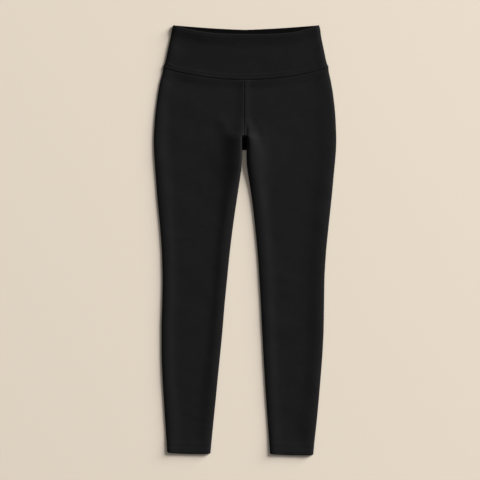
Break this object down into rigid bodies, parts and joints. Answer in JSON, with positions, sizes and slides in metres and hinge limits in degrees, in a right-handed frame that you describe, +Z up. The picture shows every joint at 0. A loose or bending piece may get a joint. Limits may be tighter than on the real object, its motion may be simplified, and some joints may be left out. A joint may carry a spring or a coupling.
{
  "type": "leggings",
  "caption": "Full-length high-waisted leggings with a contoured waistband, laid flat with the front up and the legs slightly apart.",
  "frame": {"origin": "on the surface that the garment lies on, under the middle of its box", "axes": "+Y from the hems to the waist, +X to the wearer's left leg, +Z up out of the surface; the front of the garment faces +Z"},
  "size_m": [0.4259, 1.003, 0.0149],
  "materials": {
    "knit": "matt stretch knit with a fine brushed nap",
    "gusset_knit": "matt stretch knit"
  },
  "bodies": {
    "root": {"waistband_front": "knit", "waistband_back": "knit", "leg_front_right": "knit", "leg_front_left": "knit", "leg_back_right": "knit", "leg_back_left": "knit", "crotch_gusset": "gusset_knit"}
  },
  "joints": []
}
